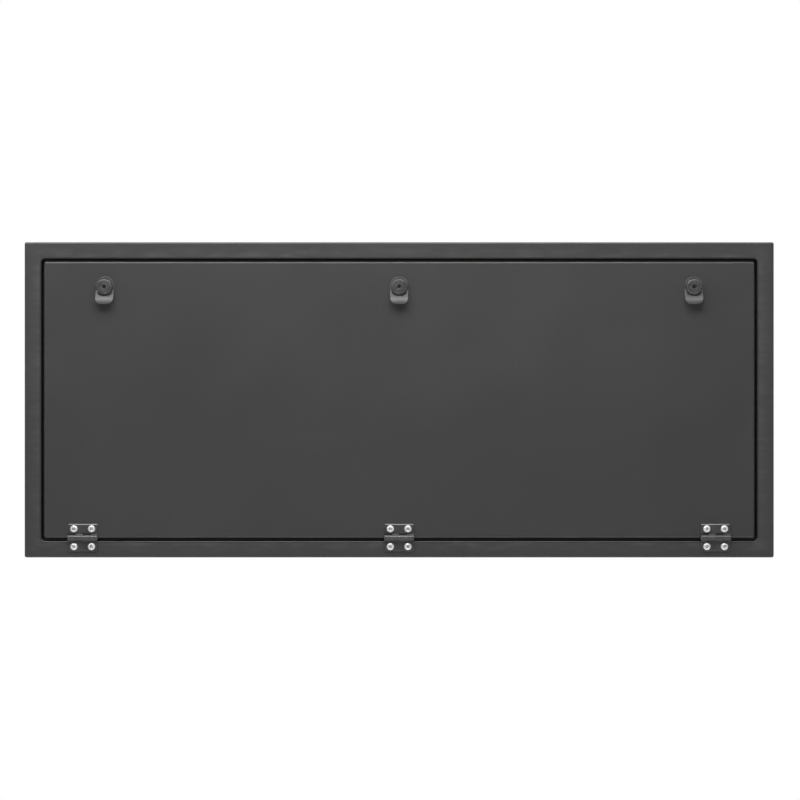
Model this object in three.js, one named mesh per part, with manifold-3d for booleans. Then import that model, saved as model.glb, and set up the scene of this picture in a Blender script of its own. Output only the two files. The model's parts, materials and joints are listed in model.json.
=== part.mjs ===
// A wall cabinet in folded sheet steel with a drop-down door: three butt hinges along the bottom edge,
// three quarter-turn cam latches with cast finger pulls along the top, and inside it a partition, two
// glass shelves and two mirror panes on the back.
//
// Millimetres. +X is to the right, +Y into the wall, +Z up. The origin is the centre of the rear face.
// The door is shown shut, with the latches released.

import * as THREE from "three";
import { mergeVertices } from "three/addons/utils/BufferGeometryUtils.js";
import Module from "manifold-3d";

// ---------- driving dimensions ----------

const width = 960; // over the front frame
const height = 404;
const depth = 120; // wall to the front face
const fitGap = 0.3; // between pieces that slide over each other
const seatGap = 0.1; // between pieces that are clamped or welded together
const overcut = 1; // how far a cutting tool runs past the piece it cuts

const frame = { face: 21, rim: 20, sheet: 1.5, radius: 2.5, openingRadius: 5.5 };
const body = { sheet: 1.2 };
const rebate = { depth: 23, sheet: 1.2, lip: 12, endLip: 13, lipRadius: 5 };
const door = { sideGap: 4, endGap: 4, thickness: 18, sheet: 1.5, radius: 2.5, linerSheet: 1 };
const gasket = { width: 6, thickness: 3.2 };
const backingBar = { length: 880, height: 14, thickness: 4 };

const hinge = { length: 38, reach: 17.7, leaf: 1.8, knuckle: 3.9, knuckles: 4, pin: 1.9, bore: 2.2 };
const hingeSpacing = 405;
const hingeAboveDoorEdge = 0.5;
const screw = { head: 4.75, headHeight: 2.75, shank: 2.4, length: 9.5, hole: 2.8, socket: 1.73, pitch: 22.5 };

const latch = { head: 10.25, headHeight: 7.4, bevel: 2.2, barrel: 8.3, hole: 8.6, bore: 7, plug: 6.7 };
const latchSpacing = 377;
const latchBelowDoorTop = 32.6;
const cam = { reach: 34, hub: 8, tip: 6, thickness: 2, square: 6, lipGap: 0.7 };
const nut = { acrossFlats: 24, thickness: 4, washerRadius: 13, washer: 1 };
const pull = { width: 23.4, plate: 1.8, topCentre: 1.7, flat: 3.6, drop: 22.3, cornerRadius: 8 };
const scoop = { innerRadius: 2.5, lipRadius: 16, angle: (34 * Math.PI) / 180 };

const partition = { sheet: 1.5, frontSetback: 34 };
const shelf = { thickness: 5, bottom: 5, frontSetback: 36, rearGap: 8, endGap: 0.8 };
const rest = { leg: 12, sheet: 1.2, setback: 2 };
const mirror = { thickness: 4, halfHeight: 140, sideMargin: 9, outerMargin: 15 };
const wallHole = { radius: 3.5, x: 400, z: 155 };

// ---------- places worked out from them ----------

const frontY = -depth;
const opening = { width: width - 2 * frame.face, height: height - 2 * frame.face };
const doorWidth = opening.width - 2 * door.sideGap;
const doorHeight = opening.height - 2 * door.endGap;
const doorRearY = frontY + door.thickness;
const rebateRearY = frontY + rebate.depth;
const rebateOpening = { width: opening.width - 2 * rebate.lip, height: opening.height - 2 * rebate.endLip };

const bodyHalfWidth = width / 2 - frame.sheet - fitGap;
const bodyHalfHeight = height / 2 - frame.sheet - fitGap;
const innerHalfWidth = bodyHalfWidth - body.sheet;
const innerHalfHeight = bodyHalfHeight - body.sheet;
const bodyFrontY = frontY + frame.sheet + fitGap;
const backFrontY = -body.sheet;

const hingeAxis = { y: frontY - hinge.knuckle - seatGap, z: hingeAboveDoorEdge - doorHeight / 2 };
const hingeXs = { left: -hingeSpacing, centre: 0, right: hingeSpacing };
const doorScrewZ = hingeAxis.z + screw.pitch / 2;
const frameScrewZ = hingeAxis.z - screw.pitch / 2;
const frameBarTopZ = -opening.height / 2 - rebate.sheet - fitGap;
const doorBarBottomZ = door.sheet + fitGap - doorHeight / 2;
const screwXs = Object.values(hingeXs).flatMap((x) => [x - screw.pitch / 2, x + screw.pitch / 2]);

const latchZ = doorHeight / 2 - latchBelowDoorTop;
const latchXs = { left: -latchSpacing, centre: 0, right: latchSpacing };

// ---------- materials ----------

const material = (color, roughness, metalness, extra = {}) =>
  new THREE.MeshStandardMaterial({ color, roughness, metalness, ...extra });

const charcoalPaint = material(0x474747, 0.55, 0.1);
const hingeBlack = material(0x3f3f40, 0.4, 0.4);
const latchBlack = material(0x444444, 0.45, 0.2);
const stainless = material(0xc9c9c7, 0.3, 1);
const zincSteel = material(0xa5a8ab, 0.4, 1);
const foamRubber = material(0x383838, 0.9, 0);
const silvered = material(0xdfe4e6, 0.05, 1);
const clearGlass = material(0xcfe3dc, 0.05, 0, { transparent: true, opacity: 0.35 });

// ---------- solids ----------

const wasm = await Module();
wasm.setup();

/** A closed three.js geometry as a manifold-3d solid. */
function solid(geometry) {
  const bare = geometry.clone();
  bare.deleteAttribute("normal");
  bare.deleteAttribute("uv");
  const merged = mergeVertices(bare, 1e-4);
  const vertProperties = merged.attributes.position.array;
  const triVerts = new Uint32Array(merged.index.array);
  return new wasm.Manifold(new wasm.Mesh({ numProp: 3, vertProperties, triVerts }));
}

/** A manifold-3d solid as a three.js geometry. */
function geometryOf(made) {
  const { vertProperties, triVerts } = made.getMesh();
  const indexed = new THREE.BufferGeometry();
  indexed.setAttribute("position", new THREE.BufferAttribute(vertProperties, 3));
  indexed.setIndex(new THREE.BufferAttribute(triVerts, 1));
  const geometry = indexed.toNonIndexed();
  geometry.computeVertexNormals();
  return geometry;
}

const cut = (made, ...tools) => tools.reduce((left, tool) => left.subtract(tool), made);
const join = (...parts) => parts.reduce((whole, part) => whole.add(part));

/** A box between two corners. */
function block([x0, y0, z0], [x1, y1, z1]) {
  const box = new THREE.BoxGeometry(x1 - x0, y1 - y0, z1 - z0);
  return solid(box.translate((x0 + x1) / 2, (y0 + y1) / 2, (z0 + z1) / 2));
}

/** An outline drawn in X and Z, made solid from y0 to y1. */
function slab(outline, y0, y1, curveSegments = 4) {
  const plate = new THREE.ExtrudeGeometry(outline, { depth: y1 - y0, bevelEnabled: false, curveSegments });
  return solid(plate.rotateX(Math.PI / 2).translate(0, y1, 0));
}

/** A rod along Y, from y0 to y1. */
function rodY(radius, y0, y1, { x = 0, z = 0, sides = 16 } = {}) {
  const rod = new THREE.CylinderGeometry(radius, radius, y1 - y0, sides);
  return solid(rod.translate(x, (y0 + y1) / 2, z));
}

/** A rod along X, from x0 to x1. */
function rodX(radius, x0, x1, sides = 16) {
  const rod = new THREE.CylinderGeometry(radius, radius, x1 - x0, sides);
  return solid(rod.rotateZ(Math.PI / 2).translate((x0 + x1) / 2, 0, 0));
}

function roundedRectangle(w, h, r) {
  const outline = new THREE.Shape();
  const [x, z] = [w / 2 - r, h / 2 - r];
  outline.absarc(x, z, r, 0, Math.PI / 2);
  outline.absarc(-x, z, r, Math.PI / 2, Math.PI);
  outline.absarc(-x, -z, r, Math.PI, 1.5 * Math.PI);
  outline.absarc(x, -z, r, 1.5 * Math.PI, 2 * Math.PI);
  outline.closePath();
  return outline;
}

const boltHoles = (z, y0, y1) => screwXs.map((x) => rodY(screw.hole, y0, y1, { x, z, sides: 12 }));
const barrelHoles = (y0, y1) =>
  Object.values(latchXs).map((x) => rodY(latch.hole, y0, y1, { x, z: latchZ, sides: 20 }));

// ---------- cabinet ----------

/** The front frame: a flat face with the door opening in it, and a rim turned back round its outside. */
function faceFrame() {
  const rimRearY = frontY + frame.rim;
  const inside = roundedRectangle(
    width - 2 * frame.sheet,
    height - 2 * frame.sheet,
    frame.radius - frame.sheet,
  );
  return cut(
    slab(roundedRectangle(width, height, frame.radius), frontY, rimRearY),
    slab(inside, frontY + frame.sheet, rimRearY + overcut),
    slab(roundedRectangle(opening.width, opening.height, frame.openingRadius), frontY - overcut, rimRearY),
    ...boltHoles(frameScrewZ, frontY - overcut, frontY + frame.sheet + overcut),
  );
}

/** The inner frame: a wall going back from the edge of the opening to the lip the door shuts against. */
function rebateFrame() {
  const outer = roundedRectangle(
    opening.width + 2 * rebate.sheet,
    opening.height + 2 * rebate.sheet,
    frame.openingRadius + rebate.sheet,
  );
  return cut(
    slab(outer, frontY + frame.sheet + seatGap, rebateRearY),
    slab(
      roundedRectangle(opening.width, opening.height, frame.openingRadius),
      frontY,
      rebateRearY - rebate.sheet,
    ),
    slab(
      roundedRectangle(rebateOpening.width, rebateOpening.height, rebate.lipRadius),
      frontY,
      rebateRearY + overcut,
    ),
  );
}

/** The foam seal on the front of the lip. */
function doorGasket() {
  const margin = 1;
  const rearY = rebateRearY - rebate.sheet - seatGap;
  const inner = [rebateOpening.width + 2 * margin, rebateOpening.height + 2 * margin];
  const outer = inner.map((size) => size + 2 * gasket.width);
  return cut(
    slab(roundedRectangle(...outer, rebate.lipRadius + gasket.width), rearY - gasket.thickness, rearY),
    slab(roundedRectangle(...inner, rebate.lipRadius), rearY - gasket.thickness - overcut, rearY + overcut),
  );
}

/** A top or bottom panel of the body, whose outer face is at the given height. side is 1 or -1. */
function levelPanel(side) {
  const [low, high] = [innerHalfHeight * side, bodyHalfHeight * side].sort((a, b) => a - b);
  return block([-bodyHalfWidth, bodyFrontY, low], [bodyHalfWidth, 0, high]);
}

/** A left or right panel of the body, between the top and the bottom. */
function sidePanel(side) {
  const [low, high] = [innerHalfWidth * side, bodyHalfWidth * side].sort((a, b) => a - b);
  const top = innerHalfHeight - seatGap;
  return block([low, bodyFrontY, -top], [high, 0, top]);
}

/** The back panel, with four holes for the wall screws. */
function backPanel() {
  const [x, z] = [innerHalfWidth - seatGap, innerHalfHeight - seatGap];
  const holes = [-1, 1].flatMap((sx) =>
    [-1, 1].map((sz) =>
      rodY(wallHole.radius, backFrontY - overcut, overcut, { x: sx * wallHole.x, z: sz * wallHole.z }),
    ),
  );
  return cut(block([-x, backFrontY, -z], [x, 0, z]), ...holes);
}

/** A steel bar behind the sheet, from its lower edge up, which the hinge screws go through. */
function hingeBar(bottomZ, screwZ) {
  const y0 = frontY + frame.sheet + 2 * seatGap;
  const y1 = y0 + backingBar.thickness;
  const x = backingBar.length / 2;
  return cut(
    block([-x, y0, bottomZ], [x, y1, bottomZ + backingBar.height]),
    ...boltHoles(screwZ, y0 - overcut, y1 + overcut),
  );
}

function partitionPanel() {
  const [x, z] = [partition.sheet / 2, innerHalfHeight - seatGap];
  return block([-x, frontY + partition.frontSetback, -z], [x, backFrontY - 2 * seatGap, z]);
}

/** A mirror pane for the left (-1) or right (1) bay, bonded to the back panel. */
function mirrorPane(side) {
  const xs = [side * mirror.sideMargin, side * (innerHalfWidth - mirror.outerMargin)].sort((a, b) => a - b);
  const rearY = backFrontY - 2 * seatGap;
  return block([xs[0], rearY - mirror.thickness, -mirror.halfHeight], [xs[1], rearY, mirror.halfHeight]);
}

function glassShelf(side) {
  const near = partition.sheet / 2 + shelf.endGap;
  const far = innerHalfWidth - shelf.endGap;
  const [x0, x1] = [side * near, side * far].sort((a, b) => a - b);
  return block(
    [x0, frontY + shelf.frontSetback, shelf.bottom],
    [x1, -shelf.rearGap, shelf.bottom + shelf.thickness],
  );
}

/** An angle that carries one end of a shelf. It stands against the wall at wallX and points along side. */
function shelfRest(wallX, side) {
  const at = (x, z) => [wallX + side * (x + seatGap), shelf.bottom - seatGap + z];
  const corners = [
    [0, 0],
    [rest.leg, 0],
    [rest.leg, -rest.sheet],
    [rest.sheet, -rest.sheet],
    [rest.sheet, -rest.leg],
    [0, -rest.leg],
  ];
  const outline = new THREE.Shape(corners.map((corner) => new THREE.Vector2(...at(...corner))));
  return slab(outline, frontY + shelf.frontSetback + rest.setback, -shelf.rearGap - rest.setback);
}

// ---------- door ----------

/** The door's outer shell: a shallow pan, open at the rear. */
function doorSkin() {
  const inside = roundedRectangle(
    doorWidth - 2 * door.sheet,
    doorHeight - 2 * door.sheet,
    door.radius - door.sheet,
  );
  return cut(
    slab(roundedRectangle(doorWidth, doorHeight, door.radius), frontY, doorRearY),
    slab(inside, frontY + door.sheet, doorRearY + overcut),
    ...boltHoles(doorScrewZ, frontY - overcut, frontY + door.sheet + overcut),
    ...barrelHoles(frontY - overcut, frontY + door.sheet + overcut),
  );
}

/** The flat sheet that closes the door's rear, inside the pan's edges. */
function doorLiner() {
  const x = doorWidth / 2 - door.sheet - fitGap;
  const z = doorHeight / 2 - door.sheet - fitGap;
  const rearY = doorRearY - 2 * seatGap;
  const frontFaceY = rearY - door.linerSheet;
  return cut(
    block([-x, frontFaceY, -z], [x, rearY, z]),
    ...barrelHoles(frontFaceY - overcut, rearY + overcut),
  );
}

// ---------- hinge, about its pin axis ----------

/** A leaf with every second knuckle rolled on it. side is 1 for the door's leaf and -1 for the frame's. */
function hingeLeaf(side, firstKnuckle) {
  const rearY = hinge.knuckle;
  const half = hinge.length / 2;
  const clear = hinge.knuckle + 0.5;
  const plate = (x0, x1, near) => {
    const [low, high] = [side * near, side * hinge.reach].sort((a, b) => a - b);
    return block([x0, rearY - hinge.leaf, low], [x1, rearY, high]);
  };
  const knuckleLength = hinge.length / hinge.knuckles;
  const rolled = [];
  for (let index = firstKnuckle; index < hinge.knuckles; index += 2) {
    const x0 = -half + index * knuckleLength + fitGap / 2;
    const x1 = x0 + knuckleLength - fitGap;
    rolled.push(plate(x0, x1, 0), rodX(hinge.knuckle, x0, x1, 20));
  }
  const holes = [-1, 1].map((sx) =>
    rodY(screw.hole, 0, hinge.knuckle + overcut, {
      x: (sx * screw.pitch) / 2,
      z: (side * screw.pitch) / 2,
      sides: 12,
    }),
  );
  const bore = rodX(hinge.bore, -half - overcut, half + overcut, 16);
  return cut(join(plate(-half, half, clear), ...rolled), bore, ...holes);
}

const hingePin = () => rodX(hinge.pin, -hinge.length / 2, hinge.length / 2, 16);

/** A button-head socket screw along +Y, with its seat at y = 0. */
function buttonScrew() {
  const crown = [0, 0.25, 0.5, 0.75, 1].map((share) => {
    const angle = (share * Math.PI) / 2;
    const flat = screw.socket + 0.6;
    return new THREE.Vector2(
      flat + (screw.head - flat) * Math.sin(angle),
      -screw.headHeight * Math.cos(angle) * 0.85 - screw.headHeight * 0.15,
    );
  });
  const profile = [
    new THREE.Vector2(0, -screw.headHeight),
    ...crown,
    new THREE.Vector2(screw.head, 0),
    new THREE.Vector2(screw.shank, 0),
    new THREE.Vector2(screw.shank, screw.length),
    new THREE.Vector2(0, screw.length),
  ];
  const socketDepth = 1.5;
  return cut(
    solid(new THREE.LatheGeometry(profile, 16)),
    rodY(screw.socket, -screw.headHeight - overcut, socketDepth - screw.headHeight, { sides: 6 }),
  );
}

// ---------- latch, about the point where its axis meets the door's front face ----------

const plateRearY = -2 * seatGap;
const headFrontY = plateRearY - pull.plate - latch.headHeight;
const barrelEndY = rebate.depth + cam.lipGap - fitGap;
const camFrontY = rebate.depth + cam.lipGap;
const camRearY = camFrontY + cam.thickness;

/** Points down the middle of the finger pull's plate, each with the plate's slope there. */
function pullCentreline() {
  const middle = pull.plate / 2;
  const turnIn = scoop.innerRadius + middle;
  const turnOut = scoop.lipRadius - middle;
  const bendDrop = (turnIn + turnOut) * Math.sin(scoop.angle);
  const straight = (pull.drop - pull.flat - bendDrop) / Math.cos(scoop.angle);
  const points = [];
  let at = new THREE.Vector2(plateRearY - middle, pull.topCentre + pull.width / 2);
  let slope = 0;
  const advance = (length, turn, steps) => {
    for (let step = 0; step < steps; step += 1) {
      const heading = slope + turn / steps / 2;
      const ahead = new THREE.Vector2(-Math.sin(heading), -Math.cos(heading));
      at = at.clone().addScaledVector(ahead, length / steps);
      slope += turn / steps;
      points.push({ at, slope });
    }
  };
  points.push({ at, slope });
  advance(at.y + pull.flat, 0, 1);
  advance(turnIn * scoop.angle, scoop.angle, 4);
  advance(straight, 0, 1);
  advance(turnOut * scoop.angle, -scoop.angle, 5);
  return points;
}

/** The plate under the head, with its lower end scooped forward for the fingers. */
function pullPlate() {
  const face = (side) =>
    pullCentreline().map(({ at, slope }) => {
      const across = new THREE.Vector2(-Math.cos(slope), Math.sin(slope));
      return at.clone().addScaledVector(across, (side * pull.plate) / 2);
    });
  const profile = new THREE.Shape([...face(-1), ...face(1).reverse()]);
  const strip = new THREE.ExtrudeGeometry(profile, { depth: pull.width, bevelEnabled: false });
  const axes = [new THREE.Vector3(0, 1, 0), new THREE.Vector3(0, 0, 1), new THREE.Vector3(1, 0, 0)];
  strip.applyMatrix4(new THREE.Matrix4().makeBasis(...axes)).translate(-pull.width / 2, 0, 0);

  const outline = new THREE.Shape();
  const [cornerX, cornerZ] = [pull.width / 2 - pull.cornerRadius, pull.cornerRadius - pull.drop];
  outline.absarc(0, pull.topCentre, pull.width / 2, 0, Math.PI);
  outline.absarc(-cornerX, cornerZ, pull.cornerRadius, Math.PI, 1.5 * Math.PI);
  outline.absarc(cornerX, cornerZ, pull.cornerRadius, 1.5 * Math.PI, 2 * Math.PI);
  outline.closePath();
  return solid(strip).intersect(slab(outline, -pull.drop, overcut, 8));
}

/** The fixed casting: the head, the finger pull and the threaded barrel, bored through for the plug. */
function latchHousing() {
  const bevel = [0, 1, 2, 3].map((step) => {
    const angle = (step * Math.PI) / 6;
    return [
      latch.head - latch.bevel * (1 - Math.sin(angle)),
      headFrontY + latch.bevel * (1 - Math.cos(angle)),
    ];
  });
  const profile = [
    [0, headFrontY],
    ...bevel,
    [latch.head, plateRearY],
    [latch.barrel, plateRearY],
    [latch.barrel, barrelEndY],
    [0, barrelEndY],
  ].map(([radius, y]) => new THREE.Vector2(radius, y));
  return cut(
    join(pullPlate(), solid(new THREE.LatheGeometry(profile, 24))),
    rodY(latch.bore, headFrontY - overcut, barrelEndY + overcut, { sides: 20 }),
  );
}

/** The turning core, with a hexagonal key socket in front and a square tenon for the cam at the rear. */
function latchPlug() {
  const socket = { radius: 3.2, depth: 4.5 };
  const screwHole = { radius: 1.8, depth: 9 };
  const proud = 0.4;
  const faceY = headFrontY - proud;
  const tenonEndY = camRearY + fitGap;
  const half = cam.square / 2;
  return cut(
    join(
      rodY(latch.plug, faceY, barrelEndY, { sides: 20 }),
      block([-half, barrelEndY - overcut, -half], [half, tenonEndY, half]),
    ),
    rodY(socket.radius, faceY - overcut, faceY + socket.depth, { sides: 6 }),
    rodY(screwHole.radius, tenonEndY - screwHole.depth, tenonEndY + overcut, { sides: 12 }),
  );
}

/** The tongue behind the door. It points along -X when released, and up behind the lip when turned. */
function latchCam() {
  const outline = new THREE.Shape();
  outline.absarc(0, 0, cam.hub, -Math.PI / 2, Math.PI / 2);
  outline.lineTo(-cam.reach + cam.tip, cam.tip);
  outline.absarc(-cam.reach + cam.tip, 0, cam.tip, Math.PI / 2, 1.5 * Math.PI);
  outline.closePath();
  const half = cam.square / 2 + 0.2;
  return cut(
    slab(outline, camFrontY, camRearY, 8),
    block([-half, camFrontY - overcut, -half], [half, camRearY + overcut, half]),
  );
}

/** The screw that holds the cam on the plug. */
function camScrew() {
  const seatY = camRearY + fitGap + seatGap;
  const [headRadius, headHeight, shankRadius, shankLength] = [4.4, 2.2, 1.5, 7];
  return join(
    rodY(headRadius, seatY, seatY + headHeight, { sides: 16 }),
    rodY(shankRadius, seatY - shankLength, seatY + headHeight / 2, { sides: 12 }),
  );
}

/** The washer under the nut. */
function latchWasher() {
  const frontFaceY = door.thickness - seatGap;
  const rearY = frontFaceY + nut.washer;
  return cut(
    rodY(nut.washerRadius, frontFaceY, rearY, { sides: 24 }),
    rodY(latch.hole, frontFaceY - overcut, rearY + overcut, { sides: 20 }),
  );
}

/** The hexagonal nut that clamps the barrel to the door. */
function latchNut() {
  const seatY = door.thickness + nut.washer;
  return cut(
    rodY(nut.acrossFlats / Math.sqrt(3), seatY, seatY + nut.thickness, { sides: 6 }),
    rodY(latch.hole, seatY - overcut, seatY + nut.thickness + overcut, { sides: 20 }),
  );
}

// ---------- assembly ----------

/** A named mesh of a solid. */
function piece(name, made, finish) {
  const mesh = new THREE.Mesh(geometryOf(made), finish);
  mesh.name = name;
  return mesh;
}

const cabinet = new THREE.Group();
cabinet.add(
  piece("face_frame", faceFrame(), charcoalPaint),
  piece("rebate_frame", rebateFrame(), charcoalPaint),
  piece("body_top", levelPanel(1), charcoalPaint),
  piece("body_bottom", levelPanel(-1), charcoalPaint),
  piece("body_left", sidePanel(-1), charcoalPaint),
  piece("body_right", sidePanel(1), charcoalPaint),
  piece("body_back", backPanel(), charcoalPaint),
  piece("door_gasket", doorGasket(), foamRubber),
  piece("frame_hinge_bar", hingeBar(frameBarTopZ - backingBar.height, frameScrewZ), zincSteel),
  piece("partition", partitionPanel(), charcoalPaint),
);
for (const [bay, side] of [["left", -1], ["right", 1]]) {
  const [outerWall, innerWall] = [side * innerHalfWidth, (side * partition.sheet) / 2];
  cabinet.add(
    piece(`mirror_${bay}`, mirrorPane(side), silvered),
    piece(`shelf_${bay}`, glassShelf(side), clearGlass),
    piece(`shelf_rest_${bay}_outer`, shelfRest(outerWall, -side), charcoalPaint),
    piece(`shelf_rest_${bay}_inner`, shelfRest(innerWall, side), charcoalPaint),
  );
}

const doorPieces = new THREE.Group();
doorPieces.add(
  piece("door_skin", doorSkin(), charcoalPaint),
  piece("door_liner", doorLiner(), charcoalPaint),
  piece("door_hinge_bar", hingeBar(doorBarBottomZ, doorScrewZ), zincSteel),
);

const screwSeatY = hinge.knuckle - hinge.leaf - seatGap;
for (const [place, x] of Object.entries(hingeXs)) {
  const made = new THREE.Group();
  made.position.set(x, hingeAxis.y, hingeAxis.z);
  made.add(
    piece(`hinge_${place}_frame_leaf`, hingeLeaf(-1, 0), hingeBlack),
    piece(`hinge_${place}_door_leaf`, hingeLeaf(1, 1), hingeBlack),
    piece(`hinge_${place}_pin`, hingePin(), stainless),
  );
  for (const [part, side] of [["frame", -1], ["door", 1]]) {
    [-1, 1].forEach((sx, index) => {
      const one = piece(`hinge_${place}_${part}_screw_${index + 1}`, buttonScrew(), stainless);
      one.position.set((sx * screw.pitch) / 2, screwSeatY, (side * screw.pitch) / 2);
      made.add(one);
    });
  }
  cabinet.add(made);
}

for (const [place, x] of Object.entries(latchXs)) {
  const made = new THREE.Group();
  made.position.set(x, frontY, latchZ);
  made.add(
    piece(`latch_${place}_housing`, latchHousing(), latchBlack),
    piece(`latch_${place}_washer`, latchWasher(), zincSteel),
    piece(`latch_${place}_nut`, latchNut(), zincSteel),
    piece(`latch_${place}_plug`, latchPlug(), latchBlack),
    piece(`latch_${place}_cam`, latchCam(), zincSteel),
    piece(`latch_${place}_cam_screw`, camScrew(), zincSteel),
  );
  doorPieces.add(made);
}
cabinet.add(doorPieces);

export default cabinet;
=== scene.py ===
"""The look of a steel wall cabinet with a drop-down door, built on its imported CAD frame.

Metres, in the row frame: +X to the right, +Y into the wall, +Z up.
Every CAD node has a more detailed piece here that stands for it, except the two hinge bars.
"""

import json
import math

import bmesh
import bpy
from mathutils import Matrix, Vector

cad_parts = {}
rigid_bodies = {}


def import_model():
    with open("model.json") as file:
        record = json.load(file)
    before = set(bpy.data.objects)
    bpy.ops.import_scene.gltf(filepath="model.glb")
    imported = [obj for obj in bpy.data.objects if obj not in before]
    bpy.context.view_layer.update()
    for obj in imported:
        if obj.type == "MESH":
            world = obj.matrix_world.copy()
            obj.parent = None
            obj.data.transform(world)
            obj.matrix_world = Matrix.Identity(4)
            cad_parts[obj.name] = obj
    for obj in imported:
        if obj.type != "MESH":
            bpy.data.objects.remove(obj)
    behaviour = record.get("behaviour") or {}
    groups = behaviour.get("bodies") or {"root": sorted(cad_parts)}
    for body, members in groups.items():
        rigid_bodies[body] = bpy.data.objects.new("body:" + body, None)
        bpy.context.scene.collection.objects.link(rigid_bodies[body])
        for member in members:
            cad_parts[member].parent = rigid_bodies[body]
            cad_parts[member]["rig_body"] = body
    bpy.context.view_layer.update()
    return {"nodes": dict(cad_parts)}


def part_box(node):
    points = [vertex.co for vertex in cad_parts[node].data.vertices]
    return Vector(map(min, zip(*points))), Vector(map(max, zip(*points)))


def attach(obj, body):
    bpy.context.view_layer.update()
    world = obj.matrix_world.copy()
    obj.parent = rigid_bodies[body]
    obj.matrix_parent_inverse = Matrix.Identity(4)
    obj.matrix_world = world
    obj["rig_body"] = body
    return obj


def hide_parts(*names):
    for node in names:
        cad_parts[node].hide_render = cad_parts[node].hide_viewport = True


MM = 0.001

# How finely curves are divided: a corner's and a bend's quarter turn, and a whole circle.
CORNER_STEPS = 8
BEND_STEPS = 6
ROUND_STEPS = 48
SMOOTH_ANGLE = math.radians(32)

# Wear, and the painted shade in creases, run from none to full between these turns of the surface.
WEAR_AND_HIGHLIGHT_NAME = "wear_and_highlight"
CREASE_SHADE_NAME = "crease_shade"
WEAR_AND_HIGHLIGHT_TURN = (math.radians(8), math.radians(14))
CREASE_SHADE_TURN = (math.radians(10), math.radians(60))
# How far up a normal must face for wear kept to upper edges: a painted highlight where the overhead light
# falls.
UPWARD_HIGHLIGHT_FACING = (0.1, 0.4)

CAMERA_PLACE = (0.001, -3.12, -0.0002)
CAMERA_LENS = 105.4
CAMERA_SENSOR = 36

SKY_BELOW = 0.03
SKY_ABOVE = 1.0

FLOOR_Z = -1.2
FLOOR_X = (-5.0, 5.0)
FLOOR_Y = (-6.0, 3.8)
FLOOR_LINES = 9

OVERCUT = 1 * MM  # how far a piece or a cutter runs into or past its neighbour
SEAT_GAP = 0.2 * MM  # between the latches and the door's front
CAP_INSET = 1.2 * MM  # how far inside a flat face's edge its cap starts

FRAME_SHEET = 1.5 * MM
FRAME_BEND = 2.2 * MM
FRAME_CORNER = 2.5 * MM
FRAME_FACE = 21 * MM
OPENING_CORNER = 5.5 * MM
OPENING_BEND = 1.4 * MM
REBATE_SHEET = 1.2 * MM
REBATE_BEND = 2 * MM
REBATE_LIP = (12 * MM, 13 * MM)
LIP_CORNER = 5 * MM
GASKET_WIDTH = 6 * MM
DOOR_SHEET = 1.5 * MM
DOOR_BEND = 2.2 * MM
DOOR_CORNER = 2.5 * MM
REST_SHEET = 1.2 * MM
REST_BEND = 1.8 * MM
WALL_HOLE = {"radius": 3.5 * MM, "x": 400 * MM, "z": 155 * MM}

PLACES = ("left", "centre", "right")
BAYS = ("left", "right")

HINGE_HALF = 19 * MM
KNUCKLE = 3.9 * MM
KNUCKLE_COUNT = 4
KNUCKLE_BORE = 2.2 * MM
LEAF = 1.8 * MM
LEAF_START = 4.4 * MM
LEAF_REACH = 17.7 * MM
LEAF_EDGE = 1.6 * MM
LEAF_CORNER = 1.6 * MM
SCREW_PITCH = 22.5 * MM
SCREW_HOLE = 2.8 * MM
HINGE_SCREW = {
    "head": 4.75 * MM,
    "height": 2.75 * MM,
    "socket": 3.4 * MM,
    "shank": 2.4 * MM,
    "length": 9.5 * MM,
}

# Places along a latch's axis are counted from the door's front face, back being positive.
HEAD_RADIUS = 10.25 * MM
HEAD_FRONT = -9.4 * MM
HEAD_BEVEL = 2.2 * MM
BARREL = 8.3 * MM
BARREL_HOLE = 8.6 * MM
BARREL_BORE = 7 * MM
BARREL_END = 23.4 * MM
THREAD_START = 15 * MM
THREAD_PITCH = 1.25 * MM
PLUG_RADIUS = 6.7 * MM
PLUG_FRONT = -9.8 * MM
PLUG_SOCKET = 5.6 * MM
TENON_HALF = 3 * MM
TENON_END = 26 * MM
NUT_FLATS = 24 * MM
CAM_HUB = 8 * MM
CAM_TIP = 6 * MM
CAM_SCREW_SEAT = 26.1 * MM
CAM_SCREW = {
    "head": 4.4 * MM,
    "height": 2.2 * MM,
    "socket": 2.5 * MM,
    "shank": 1.5 * MM,
    "length": 7 * MM,
}

PULL_HALF = 11.7 * MM
PULL_PLATE = 1.8 * MM
PULL_TOP_CENTRE = 1.7 * MM
PULL_FLAT = 3.6 * MM
PULL_DROP = 22.3 * MM
PULL_CORNER = 8 * MM
SCOOP_IN = 3.4 * MM  # radius of the bend at the top of the scoop, down its middle layer
SCOOP_OUT = 15.1 * MM  # radius of the bend back at its lip
SCOOP_ANGLE = math.radians(34)

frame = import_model()


# ---------- camera, light and floor ----------


def make_camera():
    """The camera, level and square to the front."""
    data = bpy.data.cameras.new("camera")
    data.lens = CAMERA_LENS
    data.sensor_width = CAMERA_SENSOR
    camera = bpy.data.objects.new("camera", data)
    camera.location = CAMERA_PLACE
    camera.rotation_euler = (math.pi / 2, 0, 0)
    bpy.context.scene.collection.objects.link(camera)
    bpy.context.scene.camera = camera


def area_light(name, place, aim, size, power, glossy=True):
    """A soft rectangular light at place, facing aim. Unless glossy, it makes no highlights."""
    data = bpy.data.lights.new(name, "AREA")
    data.shape = "RECTANGLE"
    data.size, data.size_y = size
    data.energy = power
    light = bpy.data.objects.new(name, data)
    light.location = place
    direction = Vector(aim) - Vector(place)
    light.rotation_euler = direction.to_track_quat("-Z", "Y").to_euler()
    light.visible_camera = False
    light.visible_glossy = glossy
    bpy.context.scene.collection.objects.link(light)


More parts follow.
